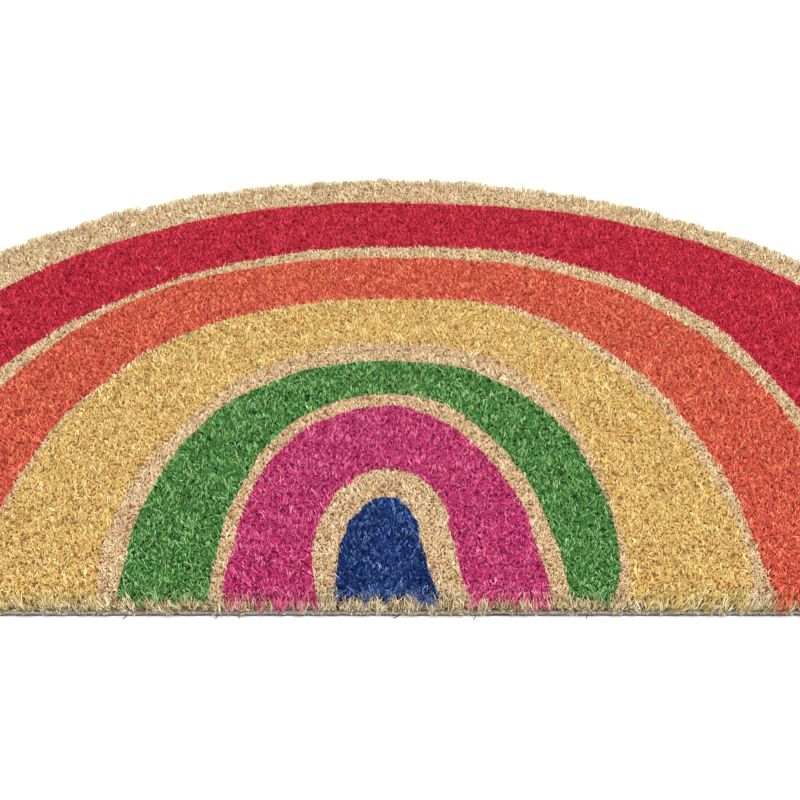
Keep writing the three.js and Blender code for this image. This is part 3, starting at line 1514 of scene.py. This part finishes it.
@dataclass
class CoirPile:
    """The pile: dyed fields of sheared fibre, a splayed rim, and the bed of roots below them, painted dark
    as shade.

    Attributes:
        outline: the outline of the pile.
        front: y of its front edge.
        low: height of its foot.
        high: height of its sheared top.
        fullness: how far the fibres reach past the outline on their fullest side.
        full_side: direction of that side, in degrees.
        field_crop: the sheared fibres. One in twenty is bent.
        field_inset: how far inside the outline they end.
        field_lift: how far behind the front edge they start.
        field_shade: how far below the top their painted shade is deepest.
        field_painted_foot_light: how much light that painted shade leaves them there, beside their tips.
        bed_inset: how far inside the outline the bed's top ends.
        bed_lift: how far behind the front edge the bed starts, and how far inside the outline its foot is.
        bed_drop: how far below the sheared top the bed lies.
        front_fall: how much lower it lies at the front edge.
        front_slope: how wide the slope down to there is.
        round_fall: how much lower it lies at the rest of the rim.
        round_slope: how wide the slope down to there is.
        bed_lumps: how far the bed's top is uneven.
        bed_row: about how wide a row of its faces is.
        bed_seed: what the draw of its lumps starts from.
        rim_from: how far inside the outline the outermost rim fibres stand.
        rim_to: how far inside it the innermost ones stand.
        rim_root: how deep they are set in the sheet, below the foot of the pile.
        rim_step: how far apart the points of the strip that they stand on lie.
        rim_seed: what the scatter of the first rim piece starts from.
        front_crop: the rim fibres along the front edge.
        round_crop: the rim fibres round the rest of the mat.
        rim_painted_foot_light: how much light the painted shade leaves the foot of the rim fibres, beside
            their tips.
        round_painted_shade: how far above the pile the painted shade of the round rim's fibres ends, to keep
            them darker.
        most_fibres: the most sheared fibres that one piece should hold.
    """

    outline: Outline
    front: float
    low: float
    high: float
    fullness: float = 4 * MM
    full_side: float = 125
    field_crop: FieldFibres = FieldFibres(
        shapes=(STRAIGHT,) * 19 + (BENT,),
        density=0.65e6,
        thin=0.28 * MM,
        thick=0.56 * MM,
        short=2.8 * MM,
        long=4.2 * MM,
        clump=3.4 * MM,
        pull=0.15,
        fan=0.6,
        clump_lean=0.5,
        own_lean=0.6,
    )
    field_inset: float = -1.8 * MM
    field_lift: float = 1.2 * MM
    field_shade: float = 4 * MM
    field_painted_foot_light: float = 0.5
    bed_inset: float = 0.6 * MM
    bed_lift: float = 3.2 * MM
    bed_drop: float = 2.2 * MM
    front_fall: float = 4.6 * MM
    front_slope: float = 6 * MM
    round_fall: float = 1.6 * MM
    round_slope: float = 4 * MM
    bed_lumps: float = 0.4 * MM
    bed_row: float = 10 * MM
    bed_seed: int = 5
    rim_from: float = 2.3 * MM
    rim_to: float = 6.5 * MM
    rim_root: float = 1.3 * MM
    rim_step: float = 1 * MM
    rim_seed: int = 100
    front_crop: RimFibres = RimFibres(
        shapes=(CURVED, CURVED, HOOKED),
        density=3.7e6,
        thin=0.24 * MM,
        thick=0.46 * MM,
        short=11.3 * MM,
        long=14.9 * MM,
        clump=4.6 * MM,
        pull=0.54,
        fan=0.8,
        clump_lean=0.3,
        own_lean=0.3,
        uneven=0.2,
    )
    round_crop: RimFibres = RimFibres(
        shapes=(STRAIGHT,),
        density=3.8e6,
        thin=0.44 * MM,
        thick=0.7 * MM,
        short=15.2 * MM,
        long=16.7 * MM,
        clump=9 * MM,
        pull=0.15,
        fan=0.25,
        clump_lean=0.25,
        own_lean=0.1,
        splay=0.5,
        droop=0.5,
    )
    rim_painted_foot_light: float = 0.72
    round_painted_shade: float = 18 * MM
    most_fibres: int = 40000

    # How many seeds are kept for the pieces of each dye's fields.
    SEEDS_EACH = 10

    def __post_init__(self) -> None:
        """Lays out the print."""
        self.fringe = self.outline.fuller(self.fullness, self.full_side)
        self.arches = ArchPrint(self.fringe, self.front)

    def build(self) -> list[bpy.types.Object]:
        """Builds the bed, the fields and the rim.

        Returns:
            Their pieces.
        """
        pieces = [self.build_bed()]
        for number, dye in enumerate(Dye):
            pieces += self.build_fields(dye, self.SEEDS_EACH * number + 1)
        return pieces + self.build_rim()

    def bed_rows(self) -> tuple[np.ndarray, list[Dye]]:
        """Lays rows of points over the bed, from the rim to the middle.

        Returns:
            The rows, with each point's place on the crest and at the foot, and the dye from each row to
            the next one.
        """
        crests = self.arches.lines(self.bed_inset, self.bed_lift)
        feet = self.arches.lines(self.bed_lift, self.bed_lift)
        lines = [np.stack(pair, 1) for pair in zip(crests, feet)]
        rows, dyes = [lines[0]], []
        for band, outer, inner in zip(BANDS, lines, lines[1:]):
            count = max(1, round(float(np.hypot(*(outer - inner).T).max()) / self.bed_row))
            for k in range(1, count + 1):
                rows.append(outer + (inner - outer) * k / count)
                dyes.append(band.dye)
        return np.array(rows), dyes

    @staticmethod
    def fall(inside: np.ndarray, most: float, slope: float) -> np.ndarray:
        """How much lower the bed lies this far inside an edge, down a slope this wide."""
        return most * (1 - np.sin(0.5 * math.pi * np.clip(inside / slope, 0, 1)))

    def bed_heights(self, crest: np.ndarray) -> np.ndarray:
        """Works out the lumpy top of the bed.

        Args:
            crest: places on it, seen from above.

        Returns:
            The height of each.
        """
        lumps = self.bed_lumps * np.random.default_rng(self.bed_seed).uniform(-1, 1, len(crest))
        from_front = crest[:, 1] - self.front - self.bed_lift
        from_rim = self.fringe.depth(crest, self.front) - self.bed_inset
        fall = np.maximum(
            self.fall(from_front, self.front_fall, self.front_slope),
            self.fall(from_rim, self.round_fall, self.round_slope),
        )
        return self.high - self.bed_drop - fall + lumps

    def build_bed(self) -> bpy.types.Object:
        """Builds the bed of roots: a closed, lumpy slab with the print's bands on top.

        Returns:
            The piece.
        """
        grid, dyes = self.bed_rows()
        height, width = grid.shape[:2]
        crest, foot = grid.reshape(-1, 2, 2).transpose(1, 0, 2)
        count = len(crest)
        top = np.c_[crest, self.bed_heights(crest)]
        low = np.c_[foot, np.full(count, self.low)]
        # The faces of the top, the points round its edge, and the wall from there down to the foot.
        at = np.arange(count).reshape(height, width)
        quads = np.stack([at[:-1, :-1], at[1:, :-1], at[1:, 1:], at[:-1, 1:]], -1).reshape(-1, 4)
        edge = np.r_[at[0, :-1], at[:-1, -1], at[-1, :0:-1], at[:0:-1, 0]]
        after = np.roll(edge, -1)
        wall = np.c_[edge, after, after + count, edge + count]
        mesh = mesh_of("coir_roots", np.r_[top, low], [*quads, *wall, edge + count])
        # Each face of the top has the dye of its row. The wall and the underside have the first one.
        known = list(Dye)
        for dye in known:
            finish = RootFinish(dye, self.low, self.high - self.bed_drop - self.bed_lumps)
            mesh.materials.append(finish.material())
        numbers = [known.index(dye) for dye in dyes for _ in range(width - 1)]
        numbers += [0] * (len(mesh.polygons) - len(numbers))
        mesh.polygons.foreach_set("material_index", numbers)
        bed = piece_of(mesh, "coir_roots")
        close_up(bed)
        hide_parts(PILE_NODE)
        return bed

    @staticmethod
    def area_between(outer: np.ndarray, inner: np.ndarray) -> float:
        """About how large the strip between two lines is."""
        widths = np.hypot(*(outer - inner).T)
        return float(np.hypot(*np.diff(outer, axis=0).T) @ widths[1:])

    def build_fields(self, dye: Dye, seed: int) -> list[bpy.types.Object]:
        """Grows the sheared fibres of one dye, in as many pieces as keep each of them light.

        Args:
            dye: the dye.
            seed: what the scatter of its first piece starts from.

        Returns:
            The pieces.
        """
        lines = self.arches.lines(self.field_inset, self.field_lift)
        steps = self.arches.steps
        bands = [k for k, band in enumerate(BANDS) if band.dye is dye]
        # For each band the points of its outer line, and then as many of its inner one.
        points = [(*p, self.high) for k in bands for p in np.r_[lines[k], lines[k + 1]]]
        starts = [2 * steps * k for k in range(len(bands))]
        area = sum(self.area_between(lines[k], lines[k + 1]) for k in bands)
        parts = math.ceil(area * self.field_crop.density / self.most_fibres)
        # The sheared fibres get painted shade that deepens below their tips.
        dress = CoirFinish(dye, self.high, self.high - self.field_shade, self.field_painted_foot_light).material()
        made = []
        for number, columns in enumerate(np.array_split(np.arange(steps - 1), parts)):
            faces = [(k + i, k + i + steps, k + i + steps + 1, k + i + 1) for k in starts for i in columns]
            name = f"{dye.value.slot}_field_{number + 1}"
            crop = replace(self.field_crop, seed=seed + number, front=self.front)
            piece = crop.grow(name, piece_of(mesh_of(name, points, faces), f"{name}_emitter"), dress)
            made.append(piece)
        return made

    def build_rim(self) -> list[bpy.types.Object]:
        """Grows the splayed fibres of the cut edge.

        Returns:
            A piece for each dye along the front, and one for the bare fibres round the rest of the mat.
        """
        ring = self.fringe.ring(self.rim_step)
        out = Outline.outward(ring, self.rim_step)
        count = len(ring)
        at = np.arange(count)
        after = np.roll(at, -1)
        quads = np.c_[at, after, after + count, at + count]
        # The strip that they stand on: the points of its outer ring, and then as many of its inner one.
        spots = np.r_[ring - self.rim_from * out, ring - self.rim_to * out]
        points = np.c_[spots, np.full(2 * count, self.low - self.rim_root)]
        outward = np.c_[np.r_[out, out], np.zeros(2 * count)]
        dyes = self.arches.dye_at(0.5 * (ring + ring[after]))
        is_front = ring[:, 1] < self.front + self.rim_to
        parts = [(dye, "front", is_front & (dyes == dye), self.front_crop, self.high) for dye in Dye]
        # The bare fibres round the rest of the mat get deeper painted shade, which would end only above the
        # pile.
        parts.append((Dye.BARE, "round", ~is_front, self.round_crop, self.high + self.round_painted_shade))
        made = []
        for number, (dye, side, is_part, crop, painted_shade_top) in enumerate(parts):
            name = f"{dye.value.slot}_{side}"
            mesh = mesh_of(name, points, quads[is_part])
            stored = mesh.attributes.new("outward", "FLOAT_VECTOR", "POINT")
            stored.data.foreach_set("vector", outward.astype(np.float32).ravel())
            crop = replace(crop, seed=self.rim_seed + number)
            # Painted shade: the rim fibres are darker towards their foot.
            finish = CoirFinish(dye, painted_shade_top, self.low, self.rim_painted_foot_light, dye.value.soak)
            piece = crop.grow(name, piece_of(mesh, f"{name}_emitter"), finish.material())
            made.append(piece)
        return made


@dataclass
class VinylSheet:
    """The sheet that the pile stands on.

    Attributes:
        outline: the outline of the sheet.
        thickness: its thickness.
        spacing: how far the points of its edge lie apart.
        nick: how uneven the knife has left the edge.
    """

    outline: Outline
    thickness: float
    spacing: float = 1.5 * MM
    nick: float = 0.12 * MM

    # The section of the cut edge, from its foot to its top: how far inside the outline each level lies,
    # and how far up, as a share of the thickness.
    SECTION = ((0.15 * MM, 0.0), (0.0, 0.08), (0.0, 0.2), (0.1 * MM, 0.94), (0.3 * MM, 1.0))

    # The waves of the nicks, in radians to a point of the edge: a coarse one that comes and goes with a
    # slow one, which starts one radian in, and a fine one with its share.
    COARSE = 0.9
    SLOW = 0.23
    SLOW_START = 1
    FINE = 2.7
    FINE_SHARE = 0.6

    def nicks(self, steps: np.ndarray) -> np.ndarray:
        """How far the edge stands out at its points of these numbers."""
        coarse = np.sin(steps * self.COARSE) * np.sin(steps * self.SLOW + self.SLOW_START)
        return self.nick * (coarse + self.FINE_SHARE * np.sin(steps * self.FINE))

    def build(self) -> bpy.types.Object:
        """Builds the sheet.

        Returns:
            The piece.
        """
        ring = self.outline.ring(self.spacing)
        out = Outline.outward(ring, self.spacing)
        count = len(ring)
        steps = np.arange(count)
        nicks = self.nicks(steps)
        points = [
            np.c_[ring + (nicks - inset)[:, None] * out, np.full(count, rise * self.thickness)]
            for inset, rise in self.SECTION
        ]
        after = np.roll(steps, -1)
        faces = [steps[::-1]]
        for level in range(len(self.SECTION) - 1):
            low, high = level * count, (level + 1) * count
            faces += list(np.c_[steps + low, after + low, after + high, steps + high])
        faces.append(steps + (len(self.SECTION) - 1) * count)
        mesh = mesh_of("vinyl_sheet", np.concatenate(points), faces)
        mesh.materials.append(VinylFinish().material())
        sheet = piece_of(mesh, "vinyl_sheet")
        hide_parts(SHEET_NODE)
        return sheet

    def declare(self) -> None:
        self.outline.area()


@dataclass(frozen=True)
class Strand:
    """One loose strand of fibre.

    Attributes:
        start: where it starts.
        length: its length.
        heading: where it points, seen from above, in degrees from +X.
        rise: how far its middle arches above a straight line.
        fall: how far its end lies below its start.
        width: its width.
    """

    start: tuple[float, float, float]
    length: float
    heading: float
    rise: float
    fall: float = 0.0
    width: float = 0.28 * MM

    # The rings of three points in its skin, how far it bows to the side as a share of its length, and
    # the width of its first and last ring as a share of its width.
    RINGS = 6
    BOW = 0.1
    END = 0.4

    def skin(self) -> tuple[np.ndarray, list[tuple[int, ...]]]:
        """Works out a closed skin: rings of three points along a bowed line.

        Returns:
            The points, and the numbers of the points of each face.
        """
        share = np.linspace(0, 1, self.RINGS)
        turn = math.radians(self.heading)
        ahead = np.array((math.cos(turn), math.sin(turn), 0.0))
        aside = np.array((-math.sin(turn), math.cos(turn), 0.0))
        bow = np.sin(math.pi * share)
        line = np.outer(share * self.length, ahead) + np.outer(bow * self.BOW * self.length, aside)
        line[:, 2] += self.rise * bow - self.fall * share
        line += self.start
        around = 2 * math.pi * np.arange(3) / 3
        taper = 0.5 * self.width * np.array((self.END, *[1.0] * (self.RINGS - 2), self.END))
        ring = np.cos(around)[:, None] * aside + np.sin(around)[:, None] * np.array(UP)
        points = (line[:, None] + taper[:, None, None] * ring).reshape(-1, 3)
        last = len(points) - 3
        faces = [
            (first + k, first + after, first + after + 3, first + k + 3)
            for first in range(0, last, 3)
            for k, after in ((0, 1), (1, 2), (2, 0))
        ]
        return points, [*faces, (2, 1, 0), (last, last + 1, last + 2)]


@dataclass
class StrayStrands:
    """Strands that lie loose: light ones on the pile, and dark ones caught under the front edge.

    Attributes:
        outline: the outline of the mat.
        front: y of its front edge.
        top: height of the pile.
        count: how many light ones there are.
        seed: what their scatter starts from.
        inset: how far inside the outline they lie at the least.
        sunk: how far below the top of the pile their ends lie.
        arch: how far they arch up, as a share of their length.
        painted_foot_light: how much light their painted shade would leave them at the foot of the pile.
        hidden: how far behind the front edge the dark ones start.
        hair_up: how high they start.
        hair_fall: how much lower they end.
        hair_width: how thick they are.
    """

    outline: Outline
    front: float
    top: float
    count: int = 24
    seed: int = 11
    inset: float = 12 * MM
    sunk: float = 0.4 * MM
    arch: float = 0.2
    painted_foot_light: float = 0.9
    hidden: float = 2.4 * MM
    hair_up: float = 0.4 * MM
    hair_fall: float = 0.2 * MM
    hair_width: float = 0.5 * MM

    # The light strand on the blue field. Its start is given from the middle of the front edge, at the
    # top of the pile.
    ON_BLUE = Strand(start=(-6.5 * MM, 26 * MM, -0.3 * MM), length=5.5 * MM, heading=-66, rise=0.5 * MM)

    # Half the width and half the depth of the field of scattered strands, and their lengths in
    # millimetres, from the shortest to the longest.
    SCATTER = (375 * MM, 225 * MM)
    LENGTHS = (3, 8)

    # Where the dark hairs stick out under the front edge: x and length in millimetres, and heading.
    CAUGHT = (
        (-133, 2.5, 232),
        (-87, 1.5, 250),
        (-77, 1, 290),
        (6, 2.5, 215),
        (44.5, 2, 250),
        (101, 1.5, 262),
    )

    # How much longer they are than what shows of them, in millimetres.
    CAUGHT_MORE = 2

    # The darkest and the palest of the light ones, as shades of the bare fibre.
    SHADES = (0.5, 1)

    def build(self) -> list[bpy.types.Object]:
        """Builds both kinds.

        Returns:
            The light piece and the dark one.
        """
        # The light strands get the bare fibre's painted shade, darker towards the floor.
        dress = CoirFinish(Dye.BARE, self.top, 0.0, self.painted_foot_light)
        return [
            self.piece("light_strands", self.light(), dress),
            self.piece("dark_strands", self.dark(), HairFinish()),
        ]

    def light(self) -> list[Strand]:
        """Lays the light strands: one on the blue field, and the others scattered.

        Returns:
            The strands.
        """
        draw = np.random.default_rng(self.seed)
        x, y, z = self.ON_BLUE.start
        laid = [replace(self.ON_BLUE, start=(x, self.front + y, self.top + z))]
        while len(laid) < self.count:
            spot = draw.uniform((-1, -1), (1, 1)) * self.SCATTER
            if self.outline.depth(spot[None], self.front)[0] > self.inset:
                length = draw.uniform(*self.LENGTHS) * MM
                start = (*spot, self.top - self.sunk)
                laid.append(Strand(start, length, draw.uniform(0, 360), self.arch * length))
        return laid

    def dark(self) -> list[Strand]:
        """Lays the dark strands.

        Returns:
            The strands.
        """
        laid = []
        for x, shown, heading in self.CAUGHT:
            start = (x * MM, self.front + self.hidden, self.hair_up)
            length = (shown + self.CAUGHT_MORE) * MM
            laid.append(Strand(start, length, heading, 0.0, self.hair_fall, self.hair_width))
        return laid

    def piece(self, name: str, strands: list[Strand], finish: CoirFinish | HairFinish) -> bpy.types.Object:
        """Joins strands into one piece.

        Args:
            name: the piece's name.
            strands: the strands.
            finish: their finish.

        Returns:
            The piece.
        """
        points, faces = [], []
        for strand in strands:
            skin, sides = strand.skin()
            faces += [[len(points) + i for i in side] for side in sides]
            points += skin.tolist()
        mesh = mesh_of(name, points, faces)
        mesh.materials.append(finish.material())
        shade = mesh.attributes.new("shade", "FLOAT", "POINT")
        shades = np.linspace(*self.SHADES, len(strands))
        shade.data.foreach_set("value", np.repeat(shades, 3 * Strand.RINGS))
        made = piece_of(mesh, name)
        close_up(made)
        return made


@dataclass
class Studio:
    """A pale floor, soft light, and a camera low in front of the mat.

    Attributes:
        eye: where the camera stands.
        down: how far it looks down, in degrees.
        lens: its focal length in millimetres.
        sensor: width of its sensor in millimetres.
        sky: strength of the white sky.
        lamp: power of the soft light, in watts.
        lamp_at: where the soft light hangs. It faces the mat.
        lamp_size: how wide and how long it is.
        floor_half: half the width of the floor.
        floor_below: how far below the mat the floor lies, which leaves a thin line of shadow.
    """

    eye: tuple[float, float, float] = (6 * MM, -892 * MM, 595 * MM)
    down: float = 34.6
    lens: float = 78.4
    sensor: float = 36.0
    sky: float = 1.0
    lamp: float = 78.0
    lamp_at: tuple[float, float, float] = (0.6, -0.5, 2.1)
    lamp_size: tuple[float, float] = (2.4, 1.6)
    floor_half: float = 6.0
    floor_below: float = 0.42 * MM

    def build(self) -> None:
        """Builds the floor, the lights and the camera."""
        self.add_floor()
        self.add_lights()
        self.add_camera()

    def add_floor(self) -> None:
        """Adds the floor."""
        half = self.floor_half
        sides = ((-half, -half), (half, -half), (half, half), (-half, half))
        mesh = mesh_of("floor", [(x, y, -self.floor_below) for x, y in sides], [(0, 1, 2, 3)])
        mesh.materials.append(FloorFinish().material())
        piece_of(mesh, "floor")

    def add_lights(self) -> None:
        """Adds a white sky and one large soft light above the front."""
        scene = bpy.context.scene
        scene.view_settings.view_transform = "Standard"
        scene.view_settings.look = "None"
        scene.world = bpy.data.worlds.new("sky")
        scene.world.use_nodes = True
        sky = scene.world.node_tree.nodes["Background"]
        sky.inputs["Color"].default_value = linear((255, 255, 255))
        sky.inputs["Strength"].default_value = self.sky
        lamp = bpy.data.lights.new("softbox", "AREA")
        lamp.shape = "RECTANGLE"
        lamp.size, lamp.size_y = self.lamp_size
        lamp.energy = self.lamp
        softbox = bpy.data.objects.new("softbox", lamp)
        softbox.location = self.lamp_at
        softbox.rotation_euler = (-Vector(self.lamp_at)).to_track_quat("-Z", "Y").to_euler()
        scene.collection.objects.link(softbox)

    def add_camera(self) -> None:
        """Adds the camera."""
        scene = bpy.context.scene
        lens = bpy.data.cameras.new("camera")
        lens.lens = self.lens
        lens.sensor_width = self.sensor
        camera = bpy.data.objects.new("camera", lens)
        camera.location = self.eye
        camera.rotation_euler = (math.radians(90 - self.down), 0, 0)
        scene.collection.objects.link(camera)
        scene.camera = camera


def main() -> None:
    """Builds the mat and its studio, and reports each piece."""
    logging.basicConfig(level=logging.INFO, format="%(name)s: %(message)s")
    Studio().build()
    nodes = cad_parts
    sheet_low, sheet_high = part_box(SHEET_NODE)
    pile_low, pile_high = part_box(PILE_NODE)
    backing = VinylSheet(Outline.of_node(nodes[SHEET_NODE]), sheet_high.z - sheet_low.z)
    sheet = backing.build()
    rim = Outline.of_node(nodes[PILE_NODE])
    coir = CoirPile(rim, pile_low.y, pile_low.z, pile_high.z).build()
    coir += StrayStrands(rim, pile_low.y, pile_high.z).build()
    for piece in [sheet, *coir]:
        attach(piece, BODY)
        piece.data.calc_loop_triangles()
        LOG.info("%s: %d triangles", piece.name, len(piece.data.loop_triangles))
    backing.declare()


if __name__ == "__main__":
    main()
